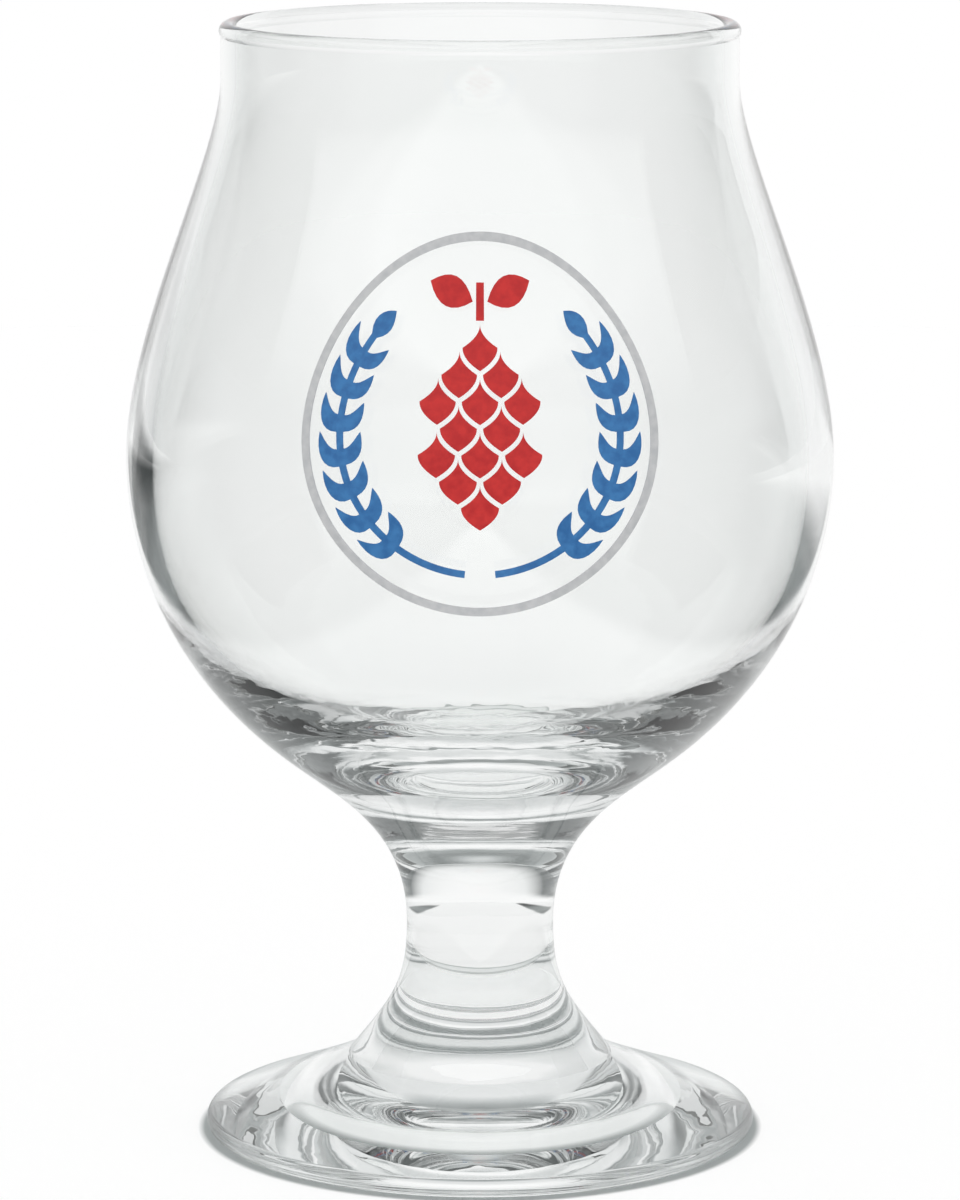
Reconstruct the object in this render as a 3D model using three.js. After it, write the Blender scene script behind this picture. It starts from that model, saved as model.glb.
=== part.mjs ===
// A short-stemmed tulip beer glass of clear glass: a blown bowl, a solid stem and a pressed foot, fused together,
// with a fired-enamel print on the front of the bowl.
// Millimetres, +Z up. The origin is the centre of the standing plane under the foot, and the print faces -Y.

import * as THREE from "three";
import { TessellateModifier } from "three/addons/modifiers/TessellateModifier.js";

// Bowl, outside
const GLASS_HEIGHT = 146;
const NECK_DIAMETER = 66.6;
const NECK_HEIGHT = 138.7;
const BELLY_DIAMETER = 91.8;
const BELLY_HEIGHT = 89.7;
const BOWL_BASE_DIAMETER = 52.3;
const BOWL_BASE_HEIGHT = 50.7;
const BOWL_BASE_SLOPE = 38;

// Bowl, wall and inside
const RIM_WALL = 2;
const RIM_BEAD_PROUD = 0.2;
const BELLY_WALL = 3.3;
const CAVITY_FLOOR_HEIGHT = 51.2;

// Stem
const WAIST_DIAMETER = 19.3;
const WAIST_HEIGHT = 27.6;
const BOWL_JOINT_HEIGHT = 36.7;
const HUB_DIAMETER = 34.7;
const HUB_HEIGHT = 9.9;
const HUB_FLARE_SLOPE = 51;

// Foot
const FOOT_DIAMETER = 72.4;
const FOOT_EDGE_RADIUS = 1.3;
const FOOT_EDGE_SLOPE = 20;
const FOOT_HUB_SLOPE = 30;
const RECESS_DIAMETER = 50;
const RECESS_DEPTH = 2.2;
const RECESS_EDGE_SLOPE = 30;

// How far each curve runs on along its end directions, as shares of the distance that it spans
const FLARE_PULL = { leave: 0.46, arrive: 0.44 };
const STEM_TOP_PULL = { leave: 0.45, arrive: 0.32 };
const BOWL_BASE_PULL = { leave: 0.39, arrive: 0.33 };
const SHOULDER_PULL = { leave: 0.33, arrive: 0.19 };
const CAVITY_PULL = { leave: 0.575, arrive: 0.28 };
const FOOT_TOP_PULL = { leave: 0.5, arrive: 0.2 };
const RECESS_PULL = { leave: 0.4, arrive: 0.3 };

// Enamel print: a ring round a hop cone in a wreath of two barley ears
const PRINT_HEIGHT = 99.8;
const PRINT_GAP = 0.1;
const PRINT_FILM = 0.15;
const WREATH_RADIUS = 18;
const WREATH_START_ANGLE = 6;
const WREATH_END_ANGLE = 140;
const EAR_STALK_LENGTH = 9;
const EAR_STALK_WIDTH = 0.9;
const KERNEL_PAIRS = 7;
const KERNEL_WIDTH = 2.3;
const KERNEL_ROOT = 0.5;
const RING_CLEARANCE = 1;
const RING_WIDTH = 1.1;
const HOP_ROW_COUNTS = [1, 2, 3, 2, 3, 2, 1];
const SCALE_WIDTH = 5.4;
const SCALE_DROP = 3.2;
const SCALE_GAP = 0.45;
const HOP_STALK_LENGTH = 4.5;
const HOP_STALK_WIDTH = 1.1;
const LEAF_LENGTH = 6.5;
const LEAF_WIDTH = 3.8;
const LEAF_TILT = 22;

// Fineness of the faceted surfaces
const TURN_SEGMENTS = 56;
const CURVE_STEPS = 10;
const EDGE_STEPS = 4;
const FOOT_STEPS = 6;
const PRINT_CURVE_STEPS = 3;
const RING_STEPS = 32;
const PRINT_LONGEST_EDGE = 3.6;
const PRINT_MOST_SPLITS = 24;

const RIGHT_ANGLE = 90;
const HALF_TURN = 180;
const EAR_LENGTH = WREATH_RADIUS * THREE.MathUtils.degToRad(WREATH_END_ANGLE - WREATH_START_ANGLE);
const KERNEL_REACH = KERNEL_WIDTH + EAR_STALK_WIDTH;

const glass = new THREE.MeshStandardMaterial({
  color: 0xeef4f1,
  roughness: 0.03,
  metalness: 0,
  transparent: true,
  opacity: 0.35,
});
const redEnamel = new THREE.MeshStandardMaterial({ color: 0xc8201f, roughness: 0.35, metalness: 0 });
const blueEnamel = new THREE.MeshStandardMaterial({ color: 0x2d6eaa, roughness: 0.35, metalness: 0 });
const greyEnamel = new THREE.MeshStandardMaterial({ color: 0xbebebe, roughness: 0.35, metalness: 0 });

const stemmedGlass = new THREE.Group();

function addPiece(name, geometry, material) {
  const piece = new THREE.Mesh(geometry, material);
  piece.name = name;
  stemmedGlass.add(piece);
}

// A station is a point of a turned outline with the direction, in degrees from the +r axis, in which the line leaves it.
function station(r, z, slope) {
  return { r, z, slope: THREE.MathUtils.degToRad(slope) };
}

// One smooth curve from the path's last station to the next.
function flow(path, from, to, pull) {
  const span = Math.hypot(to.r - from.r, to.z - from.z);
  path.bezierCurveTo(
    from.r + span * pull.leave * Math.cos(from.slope),
    from.z + span * pull.leave * Math.sin(from.slope),
    to.r - span * pull.arrive * Math.cos(to.slope),
    to.z - span * pull.arrive * Math.sin(to.slope),
    to.r,
    to.z,
  );
}

function startAt(from) {
  const path = new THREE.Path();
  path.moveTo(from.r, from.z);
  return path;
}

function onAxis(z) {
  return new THREE.Vector2(0, z);
}

// Radius of an upward-running outline at a height.
function radiusAt(points, z) {
  const upper = points.findIndex((point) => point.y >= z);
  const high = points[Math.max(upper, 1)];
  const low = points[Math.max(upper, 1) - 1];
  return THREE.MathUtils.mapLinear(z, low.y, high.y, low.x, high.x);
}

// The stretch of an upward-running outline between two heights, with a point at each end.
function stretch(points, low, high) {
  const ends = [low, high].map((z) => new THREE.Vector2(radiusAt(points, z), z));
  return [ends[0], ...points.filter((point) => point.y > low && point.y < high), ends[1]];
}

// A profile from the axis, out and up, and back to the axis, turned about Z.
function turn(profile) {
  return new THREE.LatheGeometry(profile, TURN_SEGMENTS).rotateX(Math.PI / 2);
}

// The outside of stem and bowl is one flowing line from the foot's hub to the neck.
const hub = station(HUB_DIAMETER / 2, HUB_HEIGHT, HALF_TURN - HUB_FLARE_SLOPE);
const waist = station(WAIST_DIAMETER / 2, WAIST_HEIGHT, RIGHT_ANGLE);
const bowlBase = station(BOWL_BASE_DIAMETER / 2, BOWL_BASE_HEIGHT, BOWL_BASE_SLOPE);
const belly = station(BELLY_DIAMETER / 2, BELLY_HEIGHT, RIGHT_ANGLE);
const neck = station(NECK_DIAMETER / 2, NECK_HEIGHT, RIGHT_ANGLE);

const outside = startAt(hub);
flow(outside, hub, waist, FLARE_PULL);
flow(outside, waist, bowlBase, STEM_TOP_PULL);
flow(outside, bowlBase, belly, BOWL_BASE_PULL);
flow(outside, belly, neck, SHOULDER_PULL);
const outsidePoints = outside.getPoints(CURVE_STEPS);

// The cavity runs down from the neck, with a wall that thickens towards the bowl's base.
function cavityPoints() {
  const innerNeck = station(neck.r - RIM_WALL, NECK_HEIGHT, -RIGHT_ANGLE);
  const innerBelly = station(belly.r - BELLY_WALL, BELLY_HEIGHT, -RIGHT_ANGLE);
  const floor = station(0, CAVITY_FLOOR_HEIGHT, HALF_TURN);
  const inside = startAt(innerNeck);
  flow(inside, innerNeck, innerBelly, { leave: SHOULDER_PULL.arrive, arrive: SHOULDER_PULL.leave });
  flow(inside, innerBelly, floor, CAVITY_PULL);
  return inside.getPoints(CURVE_STEPS);
}

// The fire-polished rim is a bead centred on the wall and a little thicker than it.
function rimPoints() {
  const beadRadius = RIM_WALL / 2 + RIM_BEAD_PROUD;
  const wallAngle = Math.acos(RIM_WALL / 2 / beadRadius);
  const bead = new THREE.Path();
  bead.absarc(neck.r - RIM_WALL / 2, GLASS_HEIGHT - beadRadius, beadRadius, -wallAngle, Math.PI + wallAngle);
  return bead.getPoints(EDGE_STEPS);
}

function makeBowl() {
  const wall = stretch(outsidePoints, BOWL_JOINT_HEIGHT, NECK_HEIGHT);
  return turn([onAxis(BOWL_JOINT_HEIGHT), ...wall, ...rimPoints(), ...cavityPoints()]);
}

function makeStem() {
  const flare = stretch(outsidePoints, HUB_HEIGHT, BOWL_JOINT_HEIGHT);
  return turn([onAxis(HUB_HEIGHT), ...flare, onAxis(BOWL_JOINT_HEIGHT)]);
}

// The foot stands on a flat ring round a shallow recess, has a rounded edge and slopes up to the hub.
function makeFoot() {
  const recessTop = station(0, RECESS_DEPTH, 0);
  const recessEdge = station(RECESS_DIAMETER / 2, 0, -RECESS_EDGE_SLOPE);
  const recess = startAt(recessTop);
  flow(recess, recessTop, recessEdge, RECESS_PULL);

  const edgeCentre = FOOT_DIAMETER / 2 - FOOT_EDGE_RADIUS;
  const edgeTurn = THREE.MathUtils.degToRad(RIGHT_ANGLE - FOOT_EDGE_SLOPE);
  const edge = new THREE.Path();
  edge.absarc(edgeCentre, FOOT_EDGE_RADIUS, FOOT_EDGE_RADIUS, -Math.PI / 2, edgeTurn);

  const edgeTop = station(
    edgeCentre + FOOT_EDGE_RADIUS * Math.cos(edgeTurn),
    FOOT_EDGE_RADIUS + FOOT_EDGE_RADIUS * Math.sin(edgeTurn),
    HALF_TURN - FOOT_EDGE_SLOPE,
  );
  const slopeEnd = station(hub.r, HUB_HEIGHT, HALF_TURN - FOOT_HUB_SLOPE);
  const slope = startAt(edgeTop);
  flow(slope, edgeTop, slopeEnd, FOOT_TOP_PULL);

  return turn([
    ...recess.getPoints(FOOT_STEPS),
    ...edge.getPoints(EDGE_STEPS),
    ...slope.getPoints(FOOT_STEPS).slice(1),
    onAxis(HUB_HEIGHT),
  ]);
}

// A flat motif, cut into short edges so that it can follow the bowl.
function filmOf(shape, curveSegments = PRINT_CURVE_STEPS) {
  const film = new THREE.ExtrudeGeometry(shape, { depth: PRINT_FILM, curveSegments, bevelEnabled: false });
  film.deleteAttribute("normal");
  film.deleteAttribute("uv");
  return new TessellateModifier(PRINT_LONGEST_EDGE, PRINT_MOST_SPLITS).modify(film);
}

// Moves every point of a geometry to where place(x, y, z) puts it.
function reshape(geometry, place) {
  const points = geometry.getAttribute("position");
  for (let i = 0; i < points.count; i += 1) {
    points.setXYZ(i, ...place(points.getX(i), points.getY(i), points.getZ(i)));
  }
  return geometry;
}

// Lays a flat film on the front of the bowl: x runs round it, y up it and z out of it.
function layOnBowl(film) {
  return reshape(film, (x, y, z) => {
    const height = PRINT_HEIGHT + y;
    const radius = radiusAt(outsidePoints, height) + PRINT_GAP + z;
    const angle = x / belly.r;
    return [radius * Math.sin(angle), -radius * Math.cos(angle), height];
  });
}

// The ring runs round the wreath, clear of its kernels.
function makeRing() {
  const innerRadius = WREATH_RADIUS + KERNEL_REACH + RING_CLEARANCE;
  const ring = new THREE.Shape();
  ring.absarc(0, 0, innerRadius + RING_WIDTH, 0, 2 * Math.PI);
  const hole = new THREE.Path();
  hole.absarc(0, 0, innerRadius, 0, 2 * Math.PI);
  ring.holes.push(hole);
  return layOnBowl(filmOf(ring, RING_STEPS));
}

// A barley ear drawn upright, with its stalk at the bottom: kernels lean out on both sides and one ends the ear.
function earShape() {
  const half = EAR_STALK_WIDTH / 2;
  const reach = KERNEL_REACH - half;
  const pitch = (EAR_LENGTH - EAR_STALK_LENGTH) / (KERNEL_PAIRS + 1);
  const right = new THREE.Path();
  right.moveTo(half, 0);
  right.lineTo(half, EAR_STALK_LENGTH);
  for (let i = 0; i < KERNEL_PAIRS; i += 1) {
    const low = EAR_STALK_LENGTH + i * pitch;
    const high = low + pitch;
    const root = low + pitch * KERNEL_ROOT;
    right.bezierCurveTo(reach, low, KERNEL_REACH, root, reach, high);
    right.bezierCurveTo(reach - half, high - half, (half + reach) / 2, root, half, root);
    right.lineTo(half, high);
  }
  const tip = EAR_LENGTH;
  right.bezierCurveTo(KERNEL_WIDTH, tip - pitch * KERNEL_ROOT, half, tip - half, 0, tip);
  const points = right.getPoints(PRINT_CURVE_STEPS);
  const mirrored = points.slice(0, -1).reverse().map((point) => new THREE.Vector2(-point.x, point.y));
  return new THREE.Shape([...points, ...mirrored]);
}

// Bends an upright ear round the wreath's circle, from beside the lowest point up its right (1) or left (-1) side.
function makeEar(side) {
  const start = THREE.MathUtils.degToRad(WREATH_START_ANGLE);
  const film = reshape(filmOf(earShape()), (x, y, z) => {
    const angle = start + y / WREATH_RADIUS;
    const radius = WREATH_RADIUS + side * x;
    return [side * radius * Math.sin(angle), -radius * Math.cos(angle), z];
  });
  return layOnBowl(film);
}

// One scale of the hop cone: its lower sides bulge, its upper sides follow the scales above it, less the gap.
function scaleShape(centreX, centreY) {
  const shrink = 1 - SCALE_GAP / SCALE_DROP;
  const half = (SCALE_WIDTH / 2) * shrink;
  const drop = SCALE_DROP * shrink;
  const shape = new THREE.Shape();
  shape.moveTo(centreX - half, centreY);
  shape.quadraticCurveTo(centreX - half, centreY - drop / 2, centreX, centreY - drop);
  shape.quadraticCurveTo(centreX + half, centreY - drop / 2, centreX + half, centreY);
  shape.quadraticCurveTo(centreX, centreY + drop / 2, centreX, centreY + drop);
  shape.quadraticCurveTo(centreX, centreY + drop / 2, centreX - half, centreY);
  return shape;
}

function addHopScales() {
  const topRow = ((HOP_ROW_COUNTS.length - 1) / 2) * SCALE_DROP;
  let number = 0;
  HOP_ROW_COUNTS.forEach((count, row) => {
    for (let i = 0; i < count; i += 1) {
      number += 1;
      const centreX = (i - (count - 1) / 2) * SCALE_WIDTH;
      const shape = scaleShape(centreX, topRow - row * SCALE_DROP);
      addPiece(`print_hop_scale_${number}`, layOnBowl(filmOf(shape)), redEnamel);
    }
  });
}

// The stalk stands on the top scale and carries a leaf on each side.
function addHopStalk() {
  const foot = ((HOP_ROW_COUNTS.length + 1) / 2) * SCALE_DROP;
  const half = HOP_STALK_WIDTH / 2;
  const stalk = new THREE.Shape();
  stalk.moveTo(-half, foot);
  stalk.lineTo(half, foot);
  stalk.lineTo(half, foot + HOP_STALK_LENGTH);
  stalk.lineTo(-half, foot + HOP_STALK_LENGTH);
  addPiece("print_hop_stalk", layOnBowl(filmOf(stalk)), redEnamel);

  const tilt = THREE.MathUtils.degToRad(LEAF_TILT);
  for (const [name, side] of [["left", -1], ["right", 1]]) {
    const leaf = new THREE.Shape();
    leaf.moveTo(0, 0);
    leaf.quadraticCurveTo(LEAF_LENGTH / 2, -LEAF_WIDTH, LEAF_LENGTH, 0);
    leaf.quadraticCurveTo(LEAF_LENGTH / 2, LEAF_WIDTH, 0, 0);
    const film = filmOf(leaf);
    film.rotateZ(tilt);
    film.translate(half + SCALE_GAP, foot + HOP_STALK_LENGTH / 2, 0);
    if (side < 0) {
      film.translate(0, 0, -PRINT_FILM);
      film.rotateY(Math.PI);
    }
    addPiece(`print_hop_leaf_${name}`, layOnBowl(film), redEnamel);
  }
}

addPiece("bowl", makeBowl(), glass);
addPiece("stem", makeStem(), glass);
addPiece("foot", makeFoot(), glass);
addPiece("print_ring", makeRing(), greyEnamel);
addPiece("print_ear_left", makeEar(-1), blueEnamel);
addPiece("print_ear_right", makeEar(1), blueEnamel);
addHopScales();
addHopStalk();

export default stemmedGlass;
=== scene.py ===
"""Looks of a short-stemmed tulip beer glass: clear fused glass with an enamel print, on a pale table."""

import math

import bmesh
import bpy
import numpy as np
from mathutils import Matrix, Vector


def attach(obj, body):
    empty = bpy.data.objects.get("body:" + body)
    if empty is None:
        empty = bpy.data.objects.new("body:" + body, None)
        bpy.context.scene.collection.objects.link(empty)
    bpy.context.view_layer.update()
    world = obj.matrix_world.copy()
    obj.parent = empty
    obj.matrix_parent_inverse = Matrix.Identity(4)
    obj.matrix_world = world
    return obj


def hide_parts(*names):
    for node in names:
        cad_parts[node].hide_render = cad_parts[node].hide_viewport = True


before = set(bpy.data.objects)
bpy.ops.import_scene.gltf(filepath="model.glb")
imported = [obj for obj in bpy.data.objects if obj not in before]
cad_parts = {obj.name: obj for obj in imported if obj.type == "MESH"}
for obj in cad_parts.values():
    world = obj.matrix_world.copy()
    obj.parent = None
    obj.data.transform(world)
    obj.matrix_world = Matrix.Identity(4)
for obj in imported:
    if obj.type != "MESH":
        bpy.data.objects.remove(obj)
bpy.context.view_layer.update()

MM = 0.001

# Outline of the glass in millimetres and degrees, as in the part's source
GLASS_HEIGHT = 146.0
NECK_RADIUS, NECK_HEIGHT = 33.3, 138.7
BELLY_RADIUS, BELLY_HEIGHT = 45.9, 89.7
BOWL_BASE_RADIUS, BOWL_BASE_HEIGHT, BOWL_BASE_SLOPE = 26.15, 50.7, 38
RIM_WALL, RIM_BEAD_PROUD = 2.0, 0.2
BELLY_WALL = 3.3
CAVITY_FLOOR_HEIGHT = 51.2
WAIST_RADIUS, WAIST_HEIGHT = 9.65, 27.6
BOWL_JOINT_HEIGHT = 36.7
HUB_RADIUS, HUB_HEIGHT, HUB_FLARE_SLOPE = 17.35, 9.9, 51
FOOT_RADIUS, FOOT_EDGE_RADIUS, FOOT_EDGE_SLOPE, FOOT_HUB_SLOPE = 36.2, 1.3, 20, 30
RECESS_RADIUS, RECESS_DEPTH, RECESS_EDGE_SLOPE = 25.0, 2.2, 30

# How far each curve runs on along its end directions, as shares of the distance that it spans
FLARE_PULL = (0.46, 0.44)
STEM_TOP_PULL = (0.45, 0.32)
BOWL_BASE_PULL = (0.39, 0.33)
SHOULDER_PULL = (0.33, 0.19)
CAVITY_PULL = (0.575, 0.28)
FOOT_TOP_PULL = (0.5, 0.2)
RECESS_PULL = (0.4, 0.3)

# Print, in millimetres on the unrolled front of the bowl
PRINT_HEIGHT = 99.8
FILM_SUNK, FILM_PROUD = 0.02, 0.13
WREATH_RADIUS, WREATH_START, WREATH_END = 18.0, 6, 140
EAR_STALK_LENGTH, EAR_STALK_WIDTH = 9.0, 0.9
KERNEL_PAIRS, KERNEL_WIDTH, KERNEL_ROOT = 7, 2.3, 0.5
RING_CLEARANCE, RING_WIDTH = 1.0, 1.1
HOP_ROW_COUNTS = (1, 2, 3, 2, 3, 2, 1)
SCALE_WIDTH, SCALE_DROP, SCALE_GAP = 5.4, 3.2, 0.45
HOP_STALK_LENGTH, HOP_STALK_WIDTH = 4.5, 1.1
LEAF_LENGTH, LEAF_WIDTH, LEAF_TILT = 6.5, 3.8, 22
SIDES = (("left", -1), ("right", 1))

# Fineness of the surfaces
TURN_STEPS = 160
CURVE_STEPS = 44
EDGE_STEPS = 14
PRINT_STEPS = 8
PRINT_CELL = 0.9
RING_STEPS = 168
TABLE_STEPS = 128
SHARP_ANGLE = 40
SAME_PLACE = 1e-6
CUT_TOLERANCE = 1e-5


# A run is a smooth stretch of the outline: its points and the directions in which it passes them
def bezier_run(start, start_slope, end, end_slope, pull, steps):
    p, q = np.array(start, float), np.array(end, float)
    span = np.hypot(*(q - p))
    a, b = math.radians(start_slope), math.radians(end_slope)
    c = p + span * pull[0] * np.array([math.cos(a), math.sin(a)])
    d = q - span * pull[1] * np.array([math.cos(b), math.sin(b)])
    t = np.linspace(0, 1, steps + 1)[:, None]
    s = 1 - t
    points = s**3 * p + 3 * s * s * t * c + 3 * s * t * t * d + t**3 * q
    along = s * s * (c - p) + 2 * s * t * (d - c) + t * t * (q - d)
    return points, along / np.hypot(along[:, :1], along[:, 1:])


def arc_run(centre, radius, start, end, steps):
    a = np.linspace(start, end, steps + 1)
    points = np.stack([centre[0] + radius * np.cos(a), centre[1] + radius * np.sin(a)], 1)
    return points, np.stack([-np.sin(a), np.cos(a)], 1)


def line_run(start, end):
    points = np.array([start, end], float)
    along = points[1] - points[0]
    return points, np.tile(along / np.hypot(*along), (2, 1))


def joined(*runs):
    points = np.concatenate([runs[0][0], *[r[0][1:] for r in runs[1:]]])
    along = np.concatenate([runs[0][1], *[r[1][1:] for r in runs[1:]]])
    return points, along


def between(run, low, high):
    """The stretch of an upward run between two heights."""
    points, along = run
    z = points[:, 1]
    keep = z[(z > low + SAME_PLACE) & (z < high - SAME_PLACE)]
    heights = np.concatenate([[low], keep, [high]])
    r = np.interp(heights, z, points[:, 0])
    u = np.stack([np.interp(heights, z, along[:, k]) for k in (0, 1)], 1)
    return np.stack([r, heights], 1), u / np.hypot(u[:, :1], u[:, 1:])


# The outside of stem and bowl, upwards: places as radius and height, directions in degrees
UP, DOWN, INWARDS = 90, -90, 180
HUB = (HUB_RADIUS, HUB_HEIGHT)
WAIST = (WAIST_RADIUS, WAIST_HEIGHT)
BOWL_BASE = (BOWL_BASE_RADIUS, BOWL_BASE_HEIGHT)
BELLY = (BELLY_RADIUS, BELLY_HEIGHT)
NECK = (NECK_RADIUS, NECK_HEIGHT)
outside = joined(
    bezier_run(HUB, INWARDS - HUB_FLARE_SLOPE, WAIST, UP, FLARE_PULL, CURVE_STEPS),
    bezier_run(WAIST, UP, BOWL_BASE, BOWL_BASE_SLOPE, STEM_TOP_PULL, CURVE_STEPS),
    bezier_run(BOWL_BASE, BOWL_BASE_SLOPE, BELLY, UP, BOWL_BASE_PULL, CURVE_STEPS),
    bezier_run(BELLY, UP, NECK, UP, SHOULDER_PULL, CURVE_STEPS),
)


def outside_radius(z):
    return np.interp(z, outside[0][:, 1], outside[0][:, 0])


# Each piece's runs, and the numbers of the runs that are fused to the next piece
def bowl_runs():
    wall = between(outside, BOWL_JOINT_HEIGHT, NECK_HEIGHT)
    bead = RIM_WALL / 2 + RIM_BEAD_PROUD
    lean = math.acos(RIM_WALL / 2 / bead)
    centre = (NECK_RADIUS - RIM_WALL / 2, GLASS_HEIGHT - bead)
    rim = arc_run(centre, bead, -lean, math.pi + lean, EDGE_STEPS)
    inner_neck = (NECK_RADIUS - RIM_WALL, NECK_HEIGHT)
    inner_belly = (BELLY_RADIUS - BELLY_WALL, BELLY_HEIGHT)
    inside = joined(
        bezier_run(inner_neck, DOWN, inner_belly, DOWN, SHOULDER_PULL[::-1], CURVE_STEPS),
        bezier_run(inner_belly, DOWN, (0, CAVITY_FLOOR_HEIGHT), INWARDS, CAVITY_PULL, 2 * CURVE_STEPS),
    )
    joint = line_run((0, BOWL_JOINT_HEIGHT), wall[0][0])
    outer_lip = line_run(wall[0][-1], rim[0][0])
    inner_lip = line_run(rim[0][-1], inner_neck)
    return [joint, wall, outer_lip, rim, inner_lip, inside], {0}


def stem_runs():
    flare = between(outside, HUB_HEIGHT, BOWL_JOINT_HEIGHT)
    foot_joint = line_run((0, HUB_HEIGHT), flare[0][0])
    bowl_joint = line_run(flare[0][-1], (0, BOWL_JOINT_HEIGHT))
    return [foot_joint, flare, bowl_joint], {0, 2}


def foot_runs():
    steps = CURVE_STEPS // 2
    recess = bezier_run((0, RECESS_DEPTH), 0, (RECESS_RADIUS, 0), -RECESS_EDGE_SLOPE, RECESS_PULL, steps)
    turn = math.radians(90 - FOOT_EDGE_SLOPE)
    centre = (FOOT_RADIUS - FOOT_EDGE_RADIUS, FOOT_EDGE_RADIUS)
    edge = arc_run(centre, FOOT_EDGE_RADIUS, -math.pi / 2, turn, EDGE_STEPS)
    start, end = INWARDS - FOOT_EDGE_SLOPE, INWARDS - FOOT_HUB_SLOPE
    top = bezier_run(edge[0][-1], start, HUB, end, FOOT_TOP_PULL, steps)
    standing = line_run(recess[0][-1], edge[0][0])
    return [recess, standing, edge, top, line_run(top[0][-1], (0, HUB_HEIGHT))], {4}


def place(name, mesh):
    piece = bpy.data.objects.new(name, mesh)
    bpy.context.scene.collection.objects.link(piece)
    return piece


def turned(name, runs, joints):
    """A piece turned from runs, counter-clockwise from axis to axis. Joints numbers its fused runs."""
    angles = np.arange(TURN_STEPS) * 2 * math.pi / TURN_STEPS
    ring_x, ring_y = np.sin(angles), -np.cos(angles)
    places, rings = [], []
    for number, (points, _) in enumerate(runs):
        for r, z in points if number == 0 else points[1:]:
            if r < SAME_PLACE:
                rings.append(np.full(TURN_STEPS, len(places)))
                places.append((0.0, 0.0, z))
            else:
                rings.append(len(places) + np.arange(TURN_STEPS))
                places.extend(zip(r * ring_x, r * ring_y, np.full(TURN_STEPS, z)))
    faces, normals, kinds = [], [], []
    row = 0
    after = np.roll(np.arange(TURN_STEPS), -1)
    for number, (points, along) in enumerate(runs):
        out = [(u[1], -u[0]) for u in along]
        for k in range(len(points) - 1):
            low, high = rings[row], rings[row + 1]
            for i in range(TURN_STEPS):
                j = after[i]
                corners = [(low[i], out[k], i), (low[j], out[k], j)]
                corners += [(high[j], out[k + 1], j), (high[i], out[k + 1], i)]
                if low[i] == low[j]:
                    corners.pop(1)
                elif high[i] == high[j]:
                    corners.pop(2)
                faces.append([int(c[0]) for c in corners])
                normals.extend((n[0] * ring_x[m], n[0] * ring_y[m], n[1]) for _, n, m in corners)
                kinds.append(1 if number in joints else 0)
            row += 1
    mesh = bpy.data.meshes.new(name)
    mesh.from_pydata([tuple(MM * c for c in p) for p in places], [], faces)
    mesh.polygons.foreach_set("use_smooth", np.ones(len(faces), bool))
    mesh.polygons.foreach_set("material_index", np.array(kinds, np.int32))
    mesh.normals_split_custom_set(normals)
    mesh.update()
    return place(name, mesh)


# Print outlines on the flat: x runs round the bowl and y up it, from the middle of the print
def curve(*controls):
    t = np.linspace(0, 1, PRINT_STEPS + 1)[1:, None]
    s = 1 - t
    c = [np.array(p, float) for p in controls]
    if len(c) == 3:
        return list(s * s * c[0] + 2 * s * t * c[1] + t * t * c[2])
    return list(s**3 * c[0] + 3 * s * s * t * c[1] + 3 * s * t * t * c[2] + t**3 * c[3])


def ear_outline():
    """A straight barley ear, from its stalk up: kernels in pairs, and one at the tip."""
    half = EAR_STALK_WIDTH / 2
    reach = KERNEL_WIDTH + half
    length = WREATH_RADIUS * math.radians(WREATH_END - WREATH_START)
    pitch = (length - EAR_STALK_LENGTH) / (KERNEL_PAIRS + 1)
    right = [np.array((half, 0.0)), np.array((half, EAR_STALK_LENGTH))]
    for i in range(KERNEL_PAIRS):
        low = EAR_STALK_LENGTH + i * pitch
        high, root = low + pitch, low + pitch * KERNEL_ROOT
        right += curve((half, low), (reach, low), (reach + half, root), (reach, high))
        right += curve((reach, high), (reach - half, high - half), ((half + reach) / 2, root), (half, root))
        right.append(np.array((half, high)))
    bulge = (KERNEL_WIDTH, length - pitch * KERNEL_ROOT)
    right += curve((half, length - pitch), bulge, (half, length - half), (0, length))
    left = [np.array((-p[0], p[1])) for p in right[-2::-1]]
    return right + left


def bent_ear(side):
    def bend(x, y):
        angle = math.radians(WREATH_START) + y / WREATH_RADIUS
        radius = WREATH_RADIUS + side * x
        return side * radius * math.sin(angle), -radius * math.cos(angle)

    return bend


def scale_outline(x, y):
    shrink = 1 - SCALE_GAP / SCALE_DROP
    half, drop = SCALE_WIDTH / 2 * shrink, SCALE_DROP * shrink
    return [
        *curve((x - half, y), (x - half, y - drop / 2), (x, y - drop)),
        *curve((x, y - drop), (x + half, y - drop / 2), (x + half, y)),
        *curve((x + half, y), (x, y + drop / 2), (x, y + drop)),
        *curve((x, y + drop), (x, y + drop / 2), (x - half, y)),
    ]


def leaf_outline(side, foot):
    cos, sin = math.cos(math.radians(LEAF_TILT)), math.sin(math.radians(LEAF_TILT))
    tip, bulge = (LEAF_LENGTH, 0), LEAF_LENGTH / 2
    flat = [*curve((0, 0), (bulge, -LEAF_WIDTH), tip), *curve(tip, (bulge, LEAF_WIDTH), (0, 0))]
    tilted = [(p[0] * cos - p[1] * sin, p[0] * sin + p[1] * cos) for p in flat]
    start = (HOP_STALK_WIDTH / 2 + SCALE_GAP, foot + HOP_STALK_LENGTH / 2)
    return [np.array((side * (start[0] + p[0]), start[1] + p[1])) for p in tilted]


def on_bowl(x, y, out):
    height = PRINT_HEIGHT + y
    radius = outside_radius(height) + out
    angle = x / BELLY_RADIUS
    return Vector((radius * math.sin(angle), -radius * math.cos(angle), height)) * MM


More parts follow.
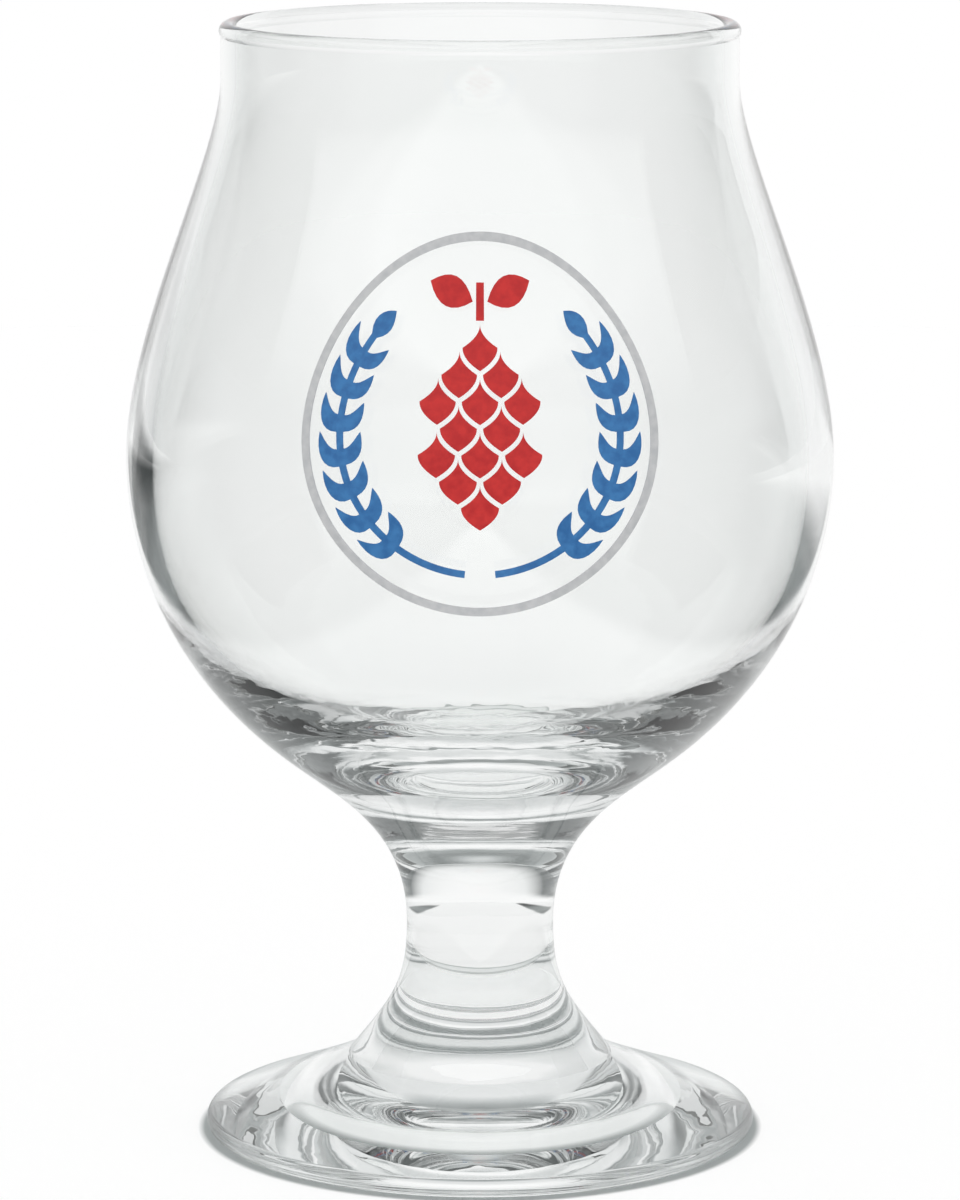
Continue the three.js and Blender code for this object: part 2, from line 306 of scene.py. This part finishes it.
def lay(name, bm, bend):
    """A flat filled shape laid on the bowl, with the film's thickness."""
    raised = bmesh.ops.extrude_face_region(bm, geom=bm.faces[:])["geom"]
    top = {v for v in raised if isinstance(v, bmesh.types.BMVert)}
    for v in bm.verts:
        x, y = bend(v.co.x, v.co.y) if bend else (v.co.x, v.co.y)
        v.co = on_bowl(x, y, FILM_PROUD if v in top else -FILM_SUNK)
    bmesh.ops.recalc_face_normals(bm, faces=bm.faces[:])
    mesh = bpy.data.meshes.new(name)
    bm.to_mesh(mesh)
    bm.free()
    mesh.polygons.foreach_set("use_smooth", np.ones(len(mesh.polygons), bool))
    mesh.set_sharp_from_angle(angle=math.radians(SHARP_ANGLE))
    return place(name, mesh)


def film(name, outline, bend=None):
    """An enamel film: its outline filled, cut into cells small enough to bend, and laid on the bowl."""
    bm = bmesh.new()
    face = bm.faces.new([bm.verts.new((p[0], p[1], 0)) for p in outline])
    face.normal_update()
    bmesh.ops.triangulate(bm, faces=[face], ngon_method="EAR_CLIP")
    for axis, normal in enumerate((Vector((1, 0, 0)), Vector((0, 1, 0)))):
        reach = [v.co[axis] for v in bm.verts]
        for k in range(math.ceil(min(reach) / PRINT_CELL), math.floor(max(reach) / PRINT_CELL) + 1):
            parts = bm.verts[:] + bm.edges[:] + bm.faces[:]
            cut = normal * k * PRINT_CELL
            bmesh.ops.bisect_plane(bm, geom=parts, dist=CUT_TOLERANCE, plane_co=cut, plane_no=normal)
    return lay(name, bm, bend)


def ring_film(name):
    inner = WREATH_RADIUS + KERNEL_WIDTH + EAR_STALK_WIDTH + RING_CLEARANCE
    angles = [2 * math.pi * i / RING_STEPS for i in range(RING_STEPS)]
    bm = bmesh.new()
    rows = []
    for radius in (inner, inner + RING_WIDTH / 2, inner + RING_WIDTH):
        rows.append([bm.verts.new((radius * math.sin(a), radius * math.cos(a), 0)) for a in angles])
    for low, high in zip(rows, rows[1:]):
        for i in range(RING_STEPS):
            j = (i + 1) % RING_STEPS
            bm.faces.new([low[i], high[i], high[j], low[j]])
    return lay(name, bm, None)


# Numbers of a mix node's sockets for colours, which share their names with its other sockets
MIX_FIRST, MIX_SECOND, MIX_RESULT = 6, 7, 2


class Graph:
    """The nodes of a material or of the world, with short ways to add to them."""

    def __init__(self, tree):
        self.nodes, self.links = tree.nodes, tree.links
        self.nodes.clear()

    def feed(self, node, inputs):
        """Each given input of a node gets its value, or a link where an output is given."""
        for name, value in dict(inputs).items():
            if isinstance(value, bpy.types.NodeSocket):
                self.links.new(value, node.inputs[name])
            else:
                node.inputs[name].default_value = value
        return node.outputs

    def add(self, kind, inputs=()):
        return self.feed(self.nodes.new(kind), inputs)

    def calc(self, operation, *terms):
        node = self.nodes.new("ShaderNodeMath")
        node.operation = operation
        return self.feed(node, enumerate(terms))["Value"]

    def vector_calc(self, operation, inputs):
        node = self.nodes.new("ShaderNodeVectorMath")
        node.operation = operation
        return self.feed(node, inputs)

    def product(self, first, second):
        return self.calc("MULTIPLY", first, second)

    def rest(self, share):
        """What a share leaves of 1."""
        return self.calc("SUBTRACT", 1.0, share)

    def smooth(self, value, start, end):
        """0 up to start, 1 from end on, with a soft step between them."""
        node = self.nodes.new("ShaderNodeMapRange")
        node.interpolation_type = "SMOOTHSTEP"
        return self.feed(node, {"Value": value, "From Min": start, "From Max": end})["Result"]

    def coordinates(self, kind):
        return self.add("ShaderNodeTexCoord")[kind]

    def axes(self, vector):
        return self.add("ShaderNodeSeparateXYZ", {"Vector": vector})

    def noise(self, vector, scale, detail):
        inputs = {"Vector": vector, "Scale": scale, "Detail": detail}
        return self.add("ShaderNodeTexNoise", inputs)["Fac"]

    def bump(self, height, strength, distance):
        inputs = {"Height": height, "Strength": strength, "Distance": distance}
        return self.add("ShaderNodeBump", inputs)["Normal"]

    def ramp(self, value, stops):
        node = self.nodes.new("ShaderNodeValToRGB")
        elements = node.color_ramp.elements
        elements[0].position, elements[0].color = stops[0]
        elements[1].position, elements[1].color = stops[-1]
        for position, colour in stops[1:-1]:
            elements.new(position).color = colour
        return self.feed(node, {"Fac": value})["Color"]

    def greys(self, value, stops, dim_green=0.0):
        """A grey by a value, with stops from 0 up. With dim_green, the dimmer it is, the greener."""
        reach = stops[-1][0]
        colours = [(at / reach, (grey * (1 - dim_green * (1 - grey)), grey, grey, 1)) for at, grey in stops]
        return self.ramp(self.calc("DIVIDE", value, reach), colours)

    def mixed(self, share, first, second):
        """The second colour by its share, and the first by the rest."""
        node = self.nodes.new("ShaderNodeMix")
        node.data_type = "RGBA"
        return self.feed(node, {"Factor": share, MIX_FIRST: first, MIX_SECOND: second})[MIX_RESULT]

    def mixed_shader(self, share, first, second):
        return self.add("ShaderNodeMixShader", {"Fac": share, 1: first, 2: second})["Shader"]

    def matt(self, colour):
        return self.add("ShaderNodeBsdfDiffuse", {"Color": colour})["BSDF"]

    def clear(self):
        return self.add("ShaderNodeBsdfTransparent")["BSDF"]

    def surface(self, shader):
        self.add("ShaderNodeOutputMaterial", {"Surface": shader})


def new_material(name):
    material = bpy.data.materials.new(name)
    material.use_nodes = True
    return material, Graph(material.node_tree)


def linear(red, green, blue):
    """A colour given as screen levels of 0 to 255, in linear light."""

    def channel(level):
        v = level / 255
        return v / 12.92 if v <= 0.04045 else ((v + 0.055) / 1.055) ** 2.4

    return (channel(red), channel(green), channel(blue), 1)


# Clear glass: a faint tint in streaks
GLASS_IOR = 1.52
STREAK_SCALE, STREAK_DETAIL = 60.0, 3.0
STREAK_TINTS = [(0.3, (0.976, 0.986, 0.98, 1)), (0.7, (0.989, 0.995, 0.992, 1))]

# Slight ripples that the making leaves in the glass, strongest where it is thick: share by height in metres
RIPPLE_SHARES = [
    (0.0, 0.5), (0.03, 0.4), (0.048, 1.0), (0.062, 1.0), (0.072, 0.3), (0.085, 0.05), (0.146, 0.03),
]
RIPPLE_SCALE, RIPPLE_DETAIL, RIPPLE_DEPTH = 110.0, 2.0, 0.00005
RIPPLE_FLATNESS = 3.0


def glass_material():
    """Clear soda-lime glass: faint grey-green, with slight streaks in its tint and ripples on it."""
    material, graph = new_material("clear_glass")
    spot = graph.coordinates("Object")
    tint = graph.ramp(graph.noise(spot, STREAK_SCALE, STREAK_DETAIL), STREAK_TINTS)
    flat = graph.vector_calc("MULTIPLY", {0: spot, 1: (1, 1, RIPPLE_FLATNESS)})["Vector"]
    ripple = graph.noise(flat, RIPPLE_SCALE, RIPPLE_DETAIL)
    share = graph.greys(graph.axes(spot)["Z"], RIPPLE_SHARES)
    glass = {
        "Base Color": tint,
        "Roughness": 0.0,
        "IOR": GLASS_IOR,
        "Transmission Weight": 1.0,
        "Normal": graph.bump(ripple, share, RIPPLE_DEPTH),
    }
    graph.surface(graph.add("ShaderNodeBsdfPrincipled", glass)["BSDF"])
    return material


def fused_material():
    """Where two pieces are fused there is no surface: light goes straight on."""
    material, graph = new_material("fused_joint")
    graph.surface(graph.clear())
    return material


# Fired screen-print enamel: uneven colour and gloss, and the grain of the screen
MOTTLE_SCALE, MOTTLE_DETAIL = 900.0, 3.0
MOTTLE_DARK, MOTTLE_LIGHT = 0.35, 0.65
GLOSS_STOPS = [(0.3, (0.3, 0.3, 0.3, 1)), (0.7, (0.42, 0.42, 0.42, 1))]
GRAIN_SCALE, GRAIN_DETAIL = 5000.0, 1.0
GRAIN_STRENGTH, GRAIN_DEPTH = 0.08, 0.00005


def enamel_material(name, light, dark):
    """Fired screen-print enamel: slightly uneven colour and gloss, with the faint grain of the screen."""
    material, graph = new_material(name)
    spot = graph.coordinates("Object")
    mottle = graph.noise(spot, MOTTLE_SCALE, MOTTLE_DETAIL)
    grain = graph.noise(spot, GRAIN_SCALE, GRAIN_DETAIL)
    enamel = {
        "Base Color": graph.ramp(mottle, [(MOTTLE_DARK, dark), (MOTTLE_LIGHT, light)]),
        "Roughness": graph.ramp(mottle, GLOSS_STOPS),
        "Normal": graph.bump(grain, GRAIN_STRENGTH, GRAIN_DEPTH),
    }
    graph.surface(graph.add("ShaderNodeBsdfPrincipled", enamel)["BSDF"])
    return material


clear_glass = glass_material()
fused_joint = fused_material()
red_enamel = enamel_material("red_enamel", linear(204, 34, 32), linear(186, 22, 26))
blue_enamel = enamel_material("blue_enamel", linear(52, 120, 180), linear(40, 102, 162))
grey_enamel = enamel_material("grey_enamel", linear(196, 197, 198), linear(182, 184, 186))


# Pieces
def settle(piece, node, slot, *materials):
    for material in materials:
        piece.data.materials.append(material)
    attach(piece, "root")
    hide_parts(node)


for node, runs in (("bowl", bowl_runs), ("stem", stem_runs), ("foot", foot_runs)):
    settle(turned(node + "_glass", *runs()), node, "clear_glass", clear_glass, fused_joint)

settle(ring_film("print_ring_enamel"), "print_ring", "grey_enamel", grey_enamel)
for side_name, side in SIDES:
    ear = film(f"print_ear_{side_name}_enamel", ear_outline(), bent_ear(side))
    settle(ear, f"print_ear_{side_name}", "blue_enamel", blue_enamel)

top_row = (len(HOP_ROW_COUNTS) - 1) / 2 * SCALE_DROP
number = 0
for row, count in enumerate(HOP_ROW_COUNTS):
    for i in range(count):
        number += 1
        outline = scale_outline((i - (count - 1) / 2) * SCALE_WIDTH, top_row - row * SCALE_DROP)
        scale = film(f"print_hop_scale_{number}_enamel", outline)
        settle(scale, f"print_hop_scale_{number}", "red_enamel", red_enamel)

half = HOP_STALK_WIDTH / 2
stalk_foot = (len(HOP_ROW_COUNTS) + 1) / 2 * SCALE_DROP
stalk_top = stalk_foot + HOP_STALK_LENGTH
stalk = [(-half, stalk_foot), (half, stalk_foot), (half, stalk_top), (-half, stalk_top)]
settle(film("print_hop_stalk_enamel", stalk), "print_hop_stalk", "red_enamel", red_enamel)
for side_name, side in SIDES:
    leaf = film(f"print_hop_leaf_{side_name}_enamel", leaf_outline(side, stalk_foot))
    settle(leaf, f"print_hop_leaf_{side_name}", "red_enamel", red_enamel)

# Stage: what the eye sees by way of the glass. Depths are whole numbers, so a half parts none from one
WHITE = (1, 1, 1, 1)
DIM_GREEN = 0.09
ANY_DEPTH = 0.5
MOST_WALL_DEPTH = 3.5
TURNS_FREE, TURN_LOSS, LEAST_SHARE = 5.0, 0.1, 0.55


def by_eye(graph, path):
    """1 for what the eye sees without a matt surface on the way, else 0."""
    return graph.calc("LESS_THAN", path["Diffuse Depth"], ANY_DEPTH)


def mirrored(graph, path):
    """1 for what the eye sees by a reflection on or in the glass, else 0."""
    by_mirror = graph.calc("GREATER_THAN", path["Glossy Depth"], ANY_DEPTH)
    return graph.product(by_mirror, by_eye(graph, path))


def through_wall(graph, path):
    """1 for what the eye sees along a wall or through solid glass, without a cavity on the way, else 0."""
    depth = path["Transmission Depth"]
    above = graph.calc("GREATER_THAN", depth, ANY_DEPTH)
    below = graph.calc("LESS_THAN", depth, MOST_WALL_DEPTH)
    return graph.product(graph.product(above, below), by_eye(graph, path))


def weakened(graph, path, colour):
    """A colour as it is seen after the turns that its light takes inside the glass: each costs light."""
    turns = graph.calc("SUBTRACT", path["Glossy Depth"], TURNS_FREE)
    loss = graph.product(graph.calc("MAXIMUM", turns, 0.0), TURN_LOSS)
    share = graph.calc("MAXIMUM", graph.rest(loss), LEAST_SHARE)
    return graph.vector_calc("SCALE", {0: colour, "Scale": share})["Vector"]


# Table: white paper, wider at the back, on a dim board that shows only by way of the glass
TABLE_RADIUS, TABLE_GAP = 0.82, 0.00005
PAPER_HALF_WIDTH, PAPER_WIDENING, PAPER_EDGE = 0.1, 0.19, 0.012
BOARD_FRONT, BOARD_FRONT_EDGE = 0.12, 0.02
BOARD_SIDE_FROM, BOARD_SIDE_TO = 0.24, 0.32
BOARD_BACK, BOARD_SLANT, BOARD_BACK_EDGE = 0.5, 0.47, 0.1
BOARD_RIM, BACKDROP_FROM, BACKDROP_TO = 0.18, 0.4, 0.5

# Shade of the board by distance behind the glass
BOARD_SHADES = [(0.0, 0.11), (0.1, 0.12), (0.16, 0.32), (0.27, 0.3), (0.4, 0.08), (0.64, 0.06)]

# Painted shadow on the paper, by distance from the axis: dark lines painted where the edges of the standing
# ring would keep the light off it
PAINTED_CONTACT_SHADOW = [
    (0.0, 0.95), (0.0225, 0.93), (0.0245, 0.4), (0.0262, 0.4), (0.028, 0.85),
    (0.0335, 0.85), (0.035, 0.4), (0.0365, 0.4), (0.0374, 1.0),
]

# The same as reflections show it, with a painted shade round the foot: dimmer for a way round it, up to a
# place at the right
PAINTED_MIRRORED_SHADE = PAINTED_CONTACT_SHADOW[:-1] + [(0.0374, 0.7), (0.07, 0.75), (0.12, 0.85), (0.2, 1.0)]
DIM_PAPER_FROM, DIM_PAPER_TO = 0.02, 0.06


def paper_shader(graph, distance, x, by_mirror):
    # The paper's colour carries painted shadow: the contact lines everywhere, and in reflections a painted
    # shade round the foot on its left
    painted_contact_shadow = graph.greys(distance, PAINTED_CONTACT_SHADOW, DIM_GREEN)
    painted_mirror_shade = graph.greys(distance, PAINTED_MIRRORED_SHADE, DIM_GREEN)
    left = graph.rest(graph.smooth(x, DIM_PAPER_FROM, DIM_PAPER_TO))
    return graph.matt(graph.mixed(graph.product(by_mirror, left), painted_contact_shadow, painted_mirror_shade))


def board_share(graph, distance, x, y):
    """1 where the board lies bare at the sides of the paper, 0 on the paper and far back."""
    aside = graph.calc("MULTIPLY_ADD", y, -PAPER_WIDENING, graph.calc("ABSOLUTE", x))
    aside = graph.smooth(aside, PAPER_HALF_WIDTH - PAPER_EDGE, PAPER_HALF_WIDTH + PAPER_EDGE)
    far = graph.calc("MULTIPLY_ADD", x, BOARD_SLANT, y)
    far = graph.smooth(far, BOARD_BACK - BOARD_BACK_EDGE, BOARD_BACK + BOARD_BACK_EDGE)
    rim = graph.smooth(distance, TABLE_RADIUS - BOARD_RIM, TABLE_RADIUS)
    backdrop = graph.smooth(y, BACKDROP_FROM, BACKDROP_TO)
    far = graph.calc("MAXIMUM", far, graph.product(rim, backdrop))
    return graph.product(aside, graph.rest(far))


def table_material():
    material, graph = new_material("pale_table")
    spot = graph.coordinates("Object")
    axes = graph.axes(spot)
    x, y = axes["X"], axes["Y"]
    distance = graph.vector_calc("LENGTH", {0: spot})["Value"]
    path = graph.add("ShaderNodeLightPath")
    by_mirror = mirrored(graph, path)
    paper = paper_shader(graph, distance, x, by_mirror)
    board = graph.matt(graph.greys(y, BOARD_SHADES, DIM_GREEN))
    behind = graph.smooth(y, BOARD_FRONT - BOARD_FRONT_EDGE, BOARD_FRONT + BOARD_FRONT_EDGE)
    beyond = graph.smooth(graph.calc("ABSOLUTE", x), BOARD_SIDE_FROM, BOARD_SIDE_TO)
    by_wall = graph.product(through_wall(graph, path), graph.product(behind, graph.rest(beyond)))
    by_glass = graph.calc("MAXIMUM", by_mirror, by_wall)
    share = graph.product(board_share(graph, distance, x, y), by_glass)
    graph.surface(graph.mixed_shader(share, paper, board))
    return material


bm = bmesh.new()
bmesh.ops.create_circle(bm, cap_ends=True, radius=TABLE_RADIUS, segments=TABLE_STEPS)
table_mesh = bpy.data.meshes.new("table")
bm.to_mesh(table_mesh)
bm.free()
table_mesh.materials.append(table_material())
table = place("table", table_mesh)
table.location.z = -TABLE_GAP

# Flags: dark cards out of the picture at both sides, which only reflections show
FLAG_DISTANCE, FLAG_BOTTOM, FLAG_TOP = 0.3, 0.165, 0.29
FLAG_FROM, FLAG_TO, FLAG_STEPS = 55, 108, 12
FLAG_SHADE = (0.1, 0.105, 0.1, 1)


def flag_material():
    material, graph = new_material("dark_flag")
    path = graph.add("ShaderNodeLightPath")
    lit = graph.rest(path["Is Shadow Ray"])
    share = graph.product(mirrored(graph, path), lit)
    graph.surface(graph.mixed_shader(share, graph.clear(), graph.matt(FLAG_SHADE)))
    return material


dark_flag = flag_material()
angles = [math.radians(a) for a in np.linspace(FLAG_FROM, FLAG_TO, FLAG_STEPS + 1)]
for side_name, side in SIDES:
    bm = bmesh.new()
    rows = []
    for height in (FLAG_BOTTOM, FLAG_TOP):
        points = [(side * FLAG_DISTANCE * math.sin(a), FLAG_DISTANCE * math.cos(a), height) for a in angles]
        rows.append([bm.verts.new(p) for p in points])
    for i in range(FLAG_STEPS):
        bm.faces.new([rows[0][i], rows[0][i + 1], rows[1][i + 1], rows[1][i]])
    flag_mesh = bpy.data.meshes.new(f"flag_{side_name}")
    bm.to_mesh(flag_mesh)
    bm.free()
    flag_mesh.materials.append(dark_flag)
    place(f"flag_{side_name}", flag_mesh)

# Room in reflections, by direction from its front (0) to its back (2), and by height where it is high
ROOM_TURN = 0.087
MIRROR_SHADES = [
    (0.0, 0.5), (0.14, 0.5), (0.36, 0.4), (0.5, 0.16), (0.74, 0.13),
    (1.46, 0.13), (1.62, 0.5), (1.74, 0.85), (2.0, 1.0),
]
HIGH_SHADES = [
    (0.0, 0.8), (0.5, 0.82), (0.6, 0.58), (0.68, 0.42), (0.81, 0.33),
    (0.88, 0.22), (0.94, 0.25), (0.978, 0.42), (1.0, 0.65),
]
HIGH_FROM, HIGH_TO = 0.2, 0.36

# The tent's top, which stays white in light that takes many turns inside the glass
TOP_FROM, TOP_TO = 0.978, 0.988
TOP_TURNS_FROM, TOP_TURNS_TO = 8.0, 12.0

# Room in views along a wall or through solid glass, by direction in the same way
WALL_SHADES = [(0.0, 0.8), (0.9, 0.7), (1.1, 0.25), (1.24, 0.2), (1.66, 0.18), (1.86, 0.88), (2.0, 1.0)]
WALL_FROM, WALL_TO = 0.0, 0.08


def tent_world():
    """A white tent, seen straight or through the glass, and a dimmer room where it reflects or bends."""
    world = bpy.data.worlds.new("tent")
    world.use_nodes = True
    graph = Graph(world.node_tree)
    axes = graph.axes(graph.coordinates("Generated"))
    x, y, z = axes["X"], axes["Y"], axes["Z"]
    path = graph.add("ShaderNodeLightPath")
    level = graph.calc("SQRT", graph.calc("MULTIPLY_ADD", x, x, graph.product(y, y)))
    backwards = graph.calc("MULTIPLY_ADD", x, ROOM_TURN, y)
    heading = graph.calc("ADD", graph.calc("DIVIDE", backwards, level), 1.0)
    around = graph.greys(heading, MIRROR_SHADES, DIM_GREEN)
    high = graph.greys(z, HIGH_SHADES, DIM_GREEN)
    room = graph.mixed(graph.smooth(z, HIGH_FROM, HIGH_TO), around, high)
    many_turns = graph.smooth(path["Glossy Depth"], TOP_TURNS_FROM, TOP_TURNS_TO)
    top = graph.product(graph.smooth(z, TOP_FROM, TOP_TO), many_turns)
    room = graph.mixed(top, weakened(graph, path, room), WHITE)
    walls = graph.greys(graph.calc("ADD", backwards, 1.0), WALL_SHADES, DIM_GREEN)
    by_wall = graph.product(through_wall(graph, path), graph.smooth(z, WALL_FROM, WALL_TO))
    seen = graph.mixed(mirrored(graph, path), graph.mixed(by_wall, WHITE, walls), room)
    tent = graph.add("ShaderNodeBackground", {"Color": seen, "Strength": 1.0})
    graph.add("ShaderNodeOutputWorld", {"Surface": tent["Background"]})
    return world


scene = bpy.context.scene
scene.world = tent_world()

# Camera: its focal length is given in pixels of a picture with the given long side
CAMERA_BACK, CAMERA_HEIGHT, CAMERA_PITCH = 0.7158, 0.2004, 10.284
FOCAL_PIXELS, IMAGE_LONG_SIDE = 5571.75, 1200
SENSOR_WIDTH = 36
CLIP_START, CLIP_END = 0.01, 100
camera = bpy.data.objects.new("camera", bpy.data.cameras.new("camera"))
scene.collection.objects.link(camera)
camera.location = (0, -CAMERA_BACK, CAMERA_HEIGHT)
camera.rotation_euler = (math.radians(90 - CAMERA_PITCH), 0, 0)
camera.data.sensor_width = SENSOR_WIDTH
camera.data.lens = FOCAL_PIXELS * SENSOR_WIDTH / IMAGE_LONG_SIDE
camera.data.clip_start, camera.data.clip_end = CLIP_START, CLIP_END
scene.camera = camera

# Light paths long enough for the turns that light takes in the base and the foot
MOST_BOUNCES, MOST_GLOSSY_BOUNCES = 32, 24
scene.view_settings.view_transform = "Standard"
scene.cycles.blur_glossy = 0.0
scene.cycles.max_bounces = MOST_BOUNCES
scene.cycles.glossy_bounces = MOST_GLOSSY_BOUNCES
scene.cycles.transmission_bounces = MOST_BOUNCES
scene.cycles.transparent_max_bounces = MOST_BOUNCES
